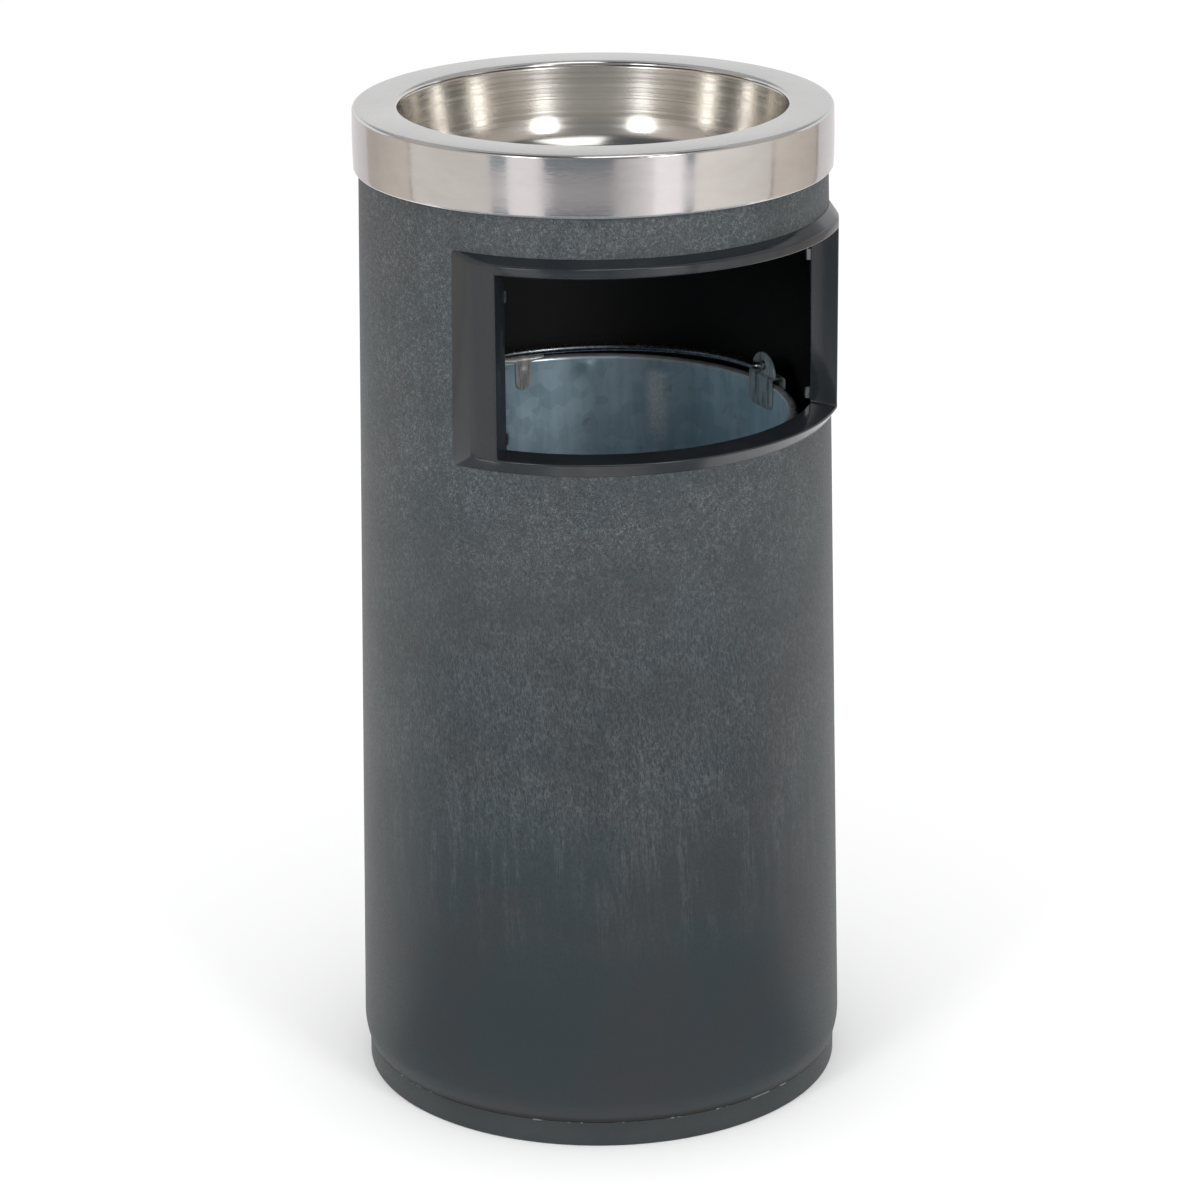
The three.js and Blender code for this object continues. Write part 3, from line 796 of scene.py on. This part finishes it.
def base_screws():
    """Pan heads with a cross recess, seated on the spigot from inside."""
    for number in (1, 2, 3, 4):
        node = f"base_screw_{number}"
        low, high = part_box(node)
        middle = (low + high) / 2
        angle = math.degrees(math.atan2(middle.x, -middle.y))
        seat, head, shank, length = 120.7 * MM, 3.1 * MM, 1.6 * MM, 4.6 * MM
        slot_half, slot_reach, slot_depth = 0.35 * MM, 1.6 * MM, 0.8 * MM
        rings = []
        for share in [i / 10 for i in range(11)]:
            dome = 2.0 * MM * math.sqrt(max(0.0, 1 - (0.86 * share) ** 2))
            ring = []
            for u, v, lift in circle(head * share, dome):
                narrow, wide = sorted((abs(u), abs(v)))
                in_cross = narrow < slot_half and wide < slot_reach
                ring.append((u, v, lift - (slot_depth if in_cross else 0)))
            rings.append(ring)
        rings += [circle(head, 0), circle(shank, 0), circle(shank, -length)]
        turn = Matrix.Rotation(math.radians(angle), 3, "Z")

        def put(point, turn=turn, middle=middle):
            u, v, lift = point
            local = turn @ Vector((u, -(seat - lift), v))
            return (local.x, local.y, middle.z + v)

        placed = [[put(p) for p in ring] for ring in rings]
        Shape().rows(placed, wrap=True).make(node + "_head", "bin_body", SPRING, "spring_steel", node, 30)


# ---- steel head ----
def steel_ring():
    """Flat top with a rolled mouth edge, a small outer round and a skirt with a hemmed foot."""
    sheet, edge = 1.2 * MM, 2.0 * MM
    inside = edge - sheet
    foot = RING_LOW.z
    draw = 0.25 * MM
    outer, mouth = (RING_RADIUS - draw - edge, TOP - edge), (MOUTH_RADIUS + edge, TOP - edge)
    half = (TOP - edge - foot - sheet / 2) / 2
    shares = [i / 8 for i in range(-7, 8)]
    belly = [(RING_RADIUS - draw * t ** 2, foot + sheet / 2 + half * (1 + t)) for t in shares]
    profile = [
        *arc((RING_RADIUS - draw - sheet / 2, foot + sheet / 2), sheet / 2, -180, 0, 8),
        *belly,
        *arc(outer, edge, 0, 90, 10),
        *arc(mouth, edge, 90, 180, 10),
        *arc(mouth, inside, 180, 90, 5),
        *arc(outer, inside, 90, 0, 5),
    ]
    return turned(profile).make("steel_ring", "head", BRUSHED, "brushed_stainless", "head_ring", 30)


def spun_bowl():
    """The ash bowl: flange, leaning wall that eases into a tight corner, and a floor that rises outwards."""
    sheet, bend, wall = 1.2 * MM, 2.4 * MM, 99.2 * MM
    lean, ease_end, easing, corner, rise = 9.2, 17.0, 70 * MM, 17 * MM, 1.5 * MM
    flange_top, floor_top = BOWL_HIGH.z, BOWL_LOW.z + sheet

    def fall(size, start, end):
        return size * (math.sin(math.radians(end)) - math.sin(math.radians(start)))

    ease_top = floor_top + rise + fall(easing, lean, ease_end) + fall(corner, ease_end, 84)
    bend_centre = (wall + bend, flange_top - bend)
    reach = wall - (bend_centre[1] - ease_top) * math.tan(math.radians(lean))

    def inner_curve(offset):
        a, b = math.radians(lean), math.radians(ease_end)
        ease_centre = (reach - easing * math.cos(a), ease_top + easing * math.sin(a))
        gap = easing - corner
        corner_centre = (ease_centre[0] + gap * math.cos(b), ease_centre[1] - gap * math.sin(b))
        return [*arc(corner_centre, corner + offset, -84, -ease_end, 16),
                *arc(ease_centre, easing + offset, -ease_end, -lean, 6)[1:]]

    flat = inner_curve(0)[0][0]
    profile = [
        (0, floor_top),
        (flat * 0.4, floor_top + rise * 0.15),
        (flat * 0.8, floor_top + rise * 0.6),
        *inner_curve(0),
        *arc(bend_centre, bend, 180, 90, 8),
        (BOWL_HIGH.x, flange_top),
        (BOWL_HIGH.x, flange_top - sheet),
        *arc(bend_centre, bend - sheet, 90, 180, 5),
        *inner_curve(sheet)[::-1],
        (flat * 0.8, BOWL_LOW.z + rise * 0.4),
        (0, BOWL_LOW.z),
    ]
    shape = turned(profile, closed=False)
    return shape.make("spun_bowl", "head", POLISHED, "polished_stainless", "ash_bowl", 30)


# ---- bucket ----
DENTS = ((156.0, 354.5, 4.0, 0.9), (203.0, 352.0, 3.5, 0.6), (120.0, 353.0, 3.5, 0.5))


def dent(angle, z):
    """How far small press marks under the rim push the wall inwards, in metres."""
    total = 0.0
    for at, height, size, depth in DENTS:
        across = math.radians(angle - at) * WALL_TOP_RADIUS / MM
        up = z / MM - height
        total += depth * math.exp(-(across ** 2 + up ** 2) / size ** 2)
    return total * MM


def bucket_wall():
    """A thin tapered wall whose edge curls outwards round the rim wire."""
    centre = (RIM_RADIUS, RIM_HEIGHT)
    foot = BUCKET_FOOT
    curl_start = RIM_HEIGHT
    inner, outer = [], []
    heights = [foot, 0.06, 0.12, 0.18, 0.24, 0.3, 0.33]
    heights += [0.335 + 0.0015 * i for i in range(16)]
    for z in heights:
        share = 1 - (z - foot) / (curl_start - foot)
        inner.append((WALL_TOP_RADIUS - BUCKET_TAPER * share, z))
        outer.append((WALL_TOP_RADIUS - BUCKET_TAPER * share + SHEET, z))
    profile = inner + arc(centre, CURL_OUTER, 180, -105, 22) + arc(centre, CURL_INNER, -105, 180, 16)
    profile += outer[::-1]
    rows = []
    for r, z in profile:
        row = []
        for j in range(TURN_STEPS):
            angle = 360 * j / TURN_STEPS
            push = dent(angle, z) if z < curl_start - 0.001 else 0.0
            row.append(polar(r - push, angle, z))
        rows.append(row)
    shape = Shape().rows(rows, wrap=True, closed=True)
    return shape.make("bucket_sheet", "bucket", GALVANISED, "galvanised_sheet", "bucket_wall", 35)


def bucket_floor():
    """Pressed bottom: a shallow raised field, a round corner and a flange inside the wall."""
    radius, low, top = FLOOR_HIGH.x, FLOOR_LOW.z, FLOOR_HIGH.z
    corner = 2.5 * MM
    profile = [
        (0, top - 1.2 * MM), (radius * 0.72, top - 1.2 * MM), (radius * 0.8, top), (radius - corner, top),
        *arc((radius - corner, top - corner), corner, 90, 0, 6),
        (radius, low), (radius - SHEET, low),
        *arc((radius - corner, top - corner), corner - SHEET, 0, 90, 5),
        (radius * 0.8, top - SHEET), (radius * 0.72, top - 1.2 * MM - SHEET), (0, top - 1.2 * MM - SHEET),
    ]
    shape = turned(profile, closed=False)
    return shape.make("bucket_floor", "bucket", GALVANISED, "galvanised_sheet", "bucket_bottom", 35)


def saddle(angle, plate_half, leg_half, lift=0.0):
    """A strip folded over the rim, with a weld dimple in its inner leg and a round lower end."""
    thickness = 1.1 * MM
    inner = WALL_TOP_RADIUS - 0.3 * MM - thickness / 2
    outer = 105.3 * MM
    top = RIM_HEIGHT + CURL_OUTER + 0.3 * MM + thickness / 2 + lift
    bottom, outer_bottom = 343.2 * MM + lift, 349.2 * MM + lift
    path = fillet_path([(inner, bottom), (inner, top), (outer, top), (outer, outer_bottom)], 1.6 * MM, 8)
    path = resampled(path, 0.9 * MM)
    leg = top - bottom

    corner = min(leg_half, 4.6 * MM)

    def half_width(distance, total):
        if distance < corner:
            bow = math.sqrt(max(0.0, corner ** 2 - (corner - distance) ** 2))
            return leg_half - corner + max(0.35 * MM, bow)
        if distance < leg - 2.5 * MM:
            return leg_half
        share = min(1.0, (distance - leg + 2.5 * MM) / (2.0 * MM))
        width = leg_half + (plate_half - leg_half) * share
        left = total - distance
        return width if left > 2 * MM else width - (2 * MM - left) * 0.6

    def dimple(distance, across):
        spot = math.exp(-((distance - 13 * MM) ** 2 + across ** 2) / (1.6 * MM) ** 2)
        return -0.45 * MM * spot

    def place(r, z, width):
        return polar(r, angle + math.degrees(width / RIM_RADIUS), z)

    return sheet_strip(path, thickness, half_width, place, dimple, across=16)


LUG_STEP = 1.3 * MM


def ear(side, name, node):
    """A saddle with an upright half-oval lug and its pivot hole."""
    shape = saddle(90 * side, 12.4 * MM, 12.2 * MM, EAR_LIFT)
    foot = RIM_HEIGHT + CURL_OUTER + 0.6 * MM + EAR_LIFT
    half, tall = 12.2 * MM, EAR_TOP - RIM_HEIGHT - CURL_OUTER - 0.6 * MM - EAR_LIFT
    thickness = 1.2 * MM
    face = WALL_TOP_RADIUS - 0.3 * MM - thickness + LUG_STEP
    rise = PIVOT_HEIGHT - foot

    def outline(a):
        dy, dz = math.cos(a), math.sin(a)
        square = (dy / half) ** 2 + (dz / tall) ** 2
        middle = rise * dz / tall ** 2
        oval = (-middle + math.sqrt(middle ** 2 - square * ((rise / tall) ** 2 - 1))) / square
        return min(oval, -rise / dz) if dz < 0 else oval

    def place(y, z, depth):
        return (side * (face + thickness / 2 + depth), y, z)

    lug = polar_plate((0, PIVOT_HEIGHT), outline, 2.5 * MM, thickness, place, 96)
    shape.add(lug.verts, lug.faces)
    # the ears take the darker zinc copy as painted shade
    return shape.make(name, "bucket", SHADED_STRIP, "galvanised_sheet", node, 35)


def rest_clip():
    middle = (REST_LOW + REST_HIGH) / 2
    shape = saddle(math.degrees(math.atan2(middle.x, -middle.y)), 12.4 * MM, 4.6 * MM)
    return shape.make("rest_saddle", "bucket", PALE_STRIP, "galvanised_sheet", "bail_rest_clip", 35)


def bail():
    """The carrying wire: stubs through the ears, a tight bend at each and one wide bow."""
    span, bend, stub = 94.7 * MM, 3.0 * MM, BAIL_HIGH.x - 0.5 * MM
    half = [(stub, 0.0), (span + bend + 1.2 * MM, 0.0)]
    for i in range(13):
        a = math.radians(-90 - 90 * i / 12)
        half.append((span + bend + bend * math.cos(a), bend + bend * math.sin(a)))
    for i in range(1, 140):
        a = math.radians(90 * i / 140)
        half.append((span * math.cos(a), bend + span * math.sin(a)))
    line = half + [(0.0, bend + span)] + [(-x, y) for x, y in reversed(half)]
    points = [(x, y, PIVOT_HEIGHT - BAIL_DROP * y / (bend + span)) for x, y in line]
    shape = round_tube(points, WIRE_RADIUS - 0.02 * MM)
    return shape.make("carrying_wire", "bail", WIRE, "zinc_wire", "bail_handle", 60)


body_tube()
base_moulding()
window_frame()
frame_clips()
base_screws()
steel_ring()
spun_bowl()
bucket_wall()
bucket_floor()
ear(-1, "ear_left", "bucket_ear_left")
ear(1, "ear_right", "bucket_ear_right")
rest_clip()
bail()
rim_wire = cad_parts["bucket_rim_wire"]
for material_slot in rim_wire.material_slots:
    material_slot.material = WIRE

# ---- studio ----
CAMERA_AZIMUTH = -27.0
HEAD_CENTRE = Vector((0, 0, TOP))
PANEL_RADIUS = 1.3


def direction(azimuth, elevation=0.0):
    """Unit vector from the object out to a stand at that azimuth; 0 stands at -Y."""
    a, e = math.radians(azimuth), math.radians(elevation)
    return Vector((math.sin(a) * math.cos(e), -math.cos(a) * math.cos(e), math.sin(e)))


def glow():
    """An emitter whose colour is painted on the panel's points."""
    material = bpy.data.materials.new("panel_glow")
    material.use_nodes = True
    tree = material.node_tree
    tree.nodes.clear()
    painted = tree.nodes.new("ShaderNodeAttribute")
    painted.attribute_name = "glow"
    emission = tree.nodes.new("ShaderNodeEmission")
    output = tree.nodes.new("ShaderNodeOutputMaterial")
    tree.links.new(painted.outputs["Color"], emission.inputs["Color"])
    tree.links.new(emission.outputs[0], output.inputs["Surface"])
    return material


def panel(name, place, azimuths, heights, near, far, material):
    """A curved panel that only mirrors see; its colour runs from near to far along its length."""
    (start, end), (low, high) = azimuths, heights
    steps, levels = 16, 8
    points, colours = [], []
    for j in range(levels + 1):
        for i in range(steps + 1):
            share = i / steps
            points.append(tuple(place(start + (end - start) * share, low + (high - low) * j / levels)))
            colours.extend([a + (b - a) * share for a, b in zip(near, far)] + [1.0])
    count = steps + 1
    faces = [(j * count + i, j * count + i + 1, (j + 1) * count + i + 1, (j + 1) * count + i)
             for j in range(levels) for i in range(steps)]
    mesh = bpy.data.meshes.new(name)
    mesh.from_pydata(points, [], faces)
    mesh.color_attributes.new("glow", "FLOAT_COLOR", "POINT").data.foreach_set("color", colours)
    mesh.materials.append(material)
    made = new_object(name, mesh)
    made.visible_camera = False
    made.visible_diffuse = False
    made.visible_shadow = False
    made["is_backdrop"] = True


def softbox(name, azimuth, elevation, distance, width, height, radiance, shape="RECTANGLE"):
    """A light aimed at the bin; azimuth is from the camera's side."""
    lamp = bpy.data.lights.new(name, "AREA")
    lamp.shape = shape
    lamp.size, lamp.size_y = width, height
    lamp.energy = radiance * math.pi * width * height
    box = new_object(name, lamp)
    away = direction(CAMERA_AZIMUTH + azimuth, elevation)
    box.location = HEAD_CENTRE + away * distance
    box.rotation_mode = "QUATERNION"
    box.rotation_quaternion = (-away).to_track_quat("-Z", "Y")
    box.visible_camera = False


def studio():
    world = bpy.data.worlds.new("studio")
    world.use_nodes = True
    world.node_tree.nodes["Background"].inputs["Color"].default_value = (1, 1, 1, 1)
    world.node_tree.nodes["Background"].inputs["Strength"].default_value = 1.04
    bpy.context.scene.world = world
    bpy.context.scene.view_settings.view_transform = "Standard"

    mesh = bpy.data.meshes.new("floor")
    size = 14.0
    corners = [(-size, -size, 0), (size, -size, 0), (size, size, 0), (-size, size, 0)]
    mesh.from_pydata(corners, [], [(0, 1, 2, 3)])
    floor = new_object("floor", mesh)
    n = Nodes("floor")
    n.set("Base Color", (0.96, 0.96, 0.96, 1))
    n.set("Roughness", 0.9)
    n.set("Specular IOR Level", 0.1)
    mesh.materials.append(n.material)
    floor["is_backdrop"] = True

    for name, side in (("key_left", -1), ("key_right", 1)):
        softbox(name, side * 32, 14, 1.2, 0.34, 0.34, 3.6, shape="ELLIPSE")
    softbox("fill_left", -34, 15, 1.6, 0.42, 0.6, 6.4)
    softbox("fill_right", 34, 15, 1.6, 0.42, 0.6, 6.0)


def tone(colour, strength):
    return [c * strength for c in colour]


def tent():
    """What the metal mirrors: pale side walls, a grey room, a ceiling dark in front, one lit panel."""
    material = glow()

    def round_head(distance):
        def place(azimuth, elevation):
            return HEAD_CENTRE + direction(CAMERA_AZIMUTH + azimuth, elevation) * distance
        return place

    def ground(azimuth, radius):
        return direction(CAMERA_AZIMUTH + azimuth) * radius + Vector((0, 0, 0.002))

    wall, screen = round_head(PANEL_RADIUS), round_head(PANEL_RADIUS - 0.04)
    beige, sand = (1.0, 0.9, 0.81), (1.0, 0.94, 0.89)
    lavender, neutral, charcoal = (1.0, 0.95, 0.96), (1.0, 1.0, 1.0), (0.84, 0.94, 1.0)

    # the floor line, from the left round to the right: azimuths, colour and strength at both ends
    floor_line = (
        ("left_end", -165, -131, lavender, 0.8, lavender, 0.66),
        ("left_far", -131, -118, beige, 0.5, beige, 0.52),
        ("left_middle", -118, -93.5, beige, 0.55, beige, 0.68),
        ("left_join", -93.5, -92, beige, 0.42, beige, 0.42),
        ("left_near", -92, -47, sand, 0.77, sand, 0.74),
        ("left_edge", -47, -39, lavender, 0.58, lavender, 0.72),
        ("front_left", -39, -26, lavender, 0.98, lavender, 0.98),
        ("front_left_fall", -26, -17, lavender, 0.98, lavender, 0.46),
        ("front_dark", -17, 6, lavender, 0.44, lavender, 0.4),
        ("front_right_rise", 6, 27, lavender, 0.4, lavender, 0.92),
        ("front_right", 27, 40, lavender, 1.15, lavender, 1.15),
        ("right_edge", 40, 46, lavender, 0.9, lavender, 0.68),
        ("right_near", 46, 89, sand, 0.95, sand, 0.74),
        ("right_join", 89, 90.5, beige, 0.42, beige, 0.42),
        ("right_far", 90.5, 127, beige, 0.72, beige, 0.56),
        ("right_far_join", 127, 129, beige, 0.3, beige, 0.3),
        ("right_end", 129, 165, lavender, 0.72, lavender, 0.85),
    )
    for name, start, end, near, near_light, far, far_light in floor_line:
        panel(name, wall, (start, end), (-22, 0), tone(near, near_light), tone(far, far_light), material)
    # darker strips over and under what the skirt's middle mirrors
    strips = (("front", -22, 9, 0.25), ("left", -47, -39, 0.36), ("right", 42, 46, 0.36))
    for name, start, end, light in strips:
        shade = tone(charcoal, light)
        for level, heights in (("high", (-10.5, 0)), ("low", (-22, -16.5))):
            panel(f"shade_{name}_{level}", screen, (start, end), heights, shade, shade, material)
    # eye level and above
    eye_line = (
        ("upper_left", -110, -50, beige, 0.5, sand, 0.56),
        ("upper_left_fall", -50, -14, sand, 0.56, neutral, 0.26),
        ("upper_front", -14, 12, neutral, 0.26, neutral, 0.26),
        ("upper_right_rise", 12, 50, neutral, 0.26, sand, 0.5),
        ("upper_right", 50, 110, sand, 0.5, beige, 0.5),
    )
    for name, start, end, near, near_light, far, far_light in eye_line:
        panel(name, wall, (start, end), (0, 34), tone(near, near_light), tone(far, far_light), material)
    # panels of one even tone
    even = (
        ("back_low", wall, (110, 250), (0, 22), neutral, 0.87),
        ("back_high", wall, (110, 250), (22, 34), neutral, 0.36),
        ("ceiling", wall, (-75, 75), (34, 90), charcoal, 0.12),
        ("ceiling_back", wall, (75, 285), (34, 90), neutral, 0.5),
        ("ceiling_light", screen, (-9, 46), (42, 76), neutral, 1.9),
        ("front_ground", ground, (-78, 78), (0.16, 1.25), charcoal, 0.36),
    )
    for name, place, azimuths, heights, colour, light in even:
        shade = tone(colour, light)
        panel(name, place, azimuths, heights, shade, shade, material)


def camera():
    """A long lens from a standing eye, turned a little about its own axis."""
    distance, height = 2.0475, 0.9677
    pitch, yaw, roll = 0.3352, 0.0006, 0.0094
    focal = 124.24
    data = bpy.data.cameras.new("camera")
    data.lens = focal
    data.sensor_width = 36.0
    data.clip_start, data.clip_end = 0.05, 60.0
    stand = new_object("camera", data)
    forward_flat = -direction(CAMERA_AZIMUTH)
    right = Vector((-direction(CAMERA_AZIMUTH).y, direction(CAMERA_AZIMUTH).x, 0))
    turned_right = right * math.cos(yaw) - forward_flat * math.sin(yaw)
    turned_forward = right * math.sin(yaw) + forward_flat * math.cos(yaw)
    up = Vector((0, 0, 1))
    look = turned_forward * math.cos(pitch) - up * math.sin(pitch)
    lift = turned_forward * math.sin(pitch) + up * math.cos(pitch)
    x_axis = turned_right * math.cos(roll) - lift * math.sin(roll)
    y_axis = turned_right * math.sin(roll) + lift * math.cos(roll)
    basis = Matrix((x_axis, y_axis, -look)).transposed()
    place = basis.to_4x4()
    place.translation = direction(CAMERA_AZIMUTH) * distance + up * height
    stand.matrix_world = place
    bpy.context.scene.camera = stand


studio()
tent()
camera()

boxes = {"cad": CAD_BOX, "visual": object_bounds()}
{name: [list(corner) for corner in box] for name, box in boxes.items()}
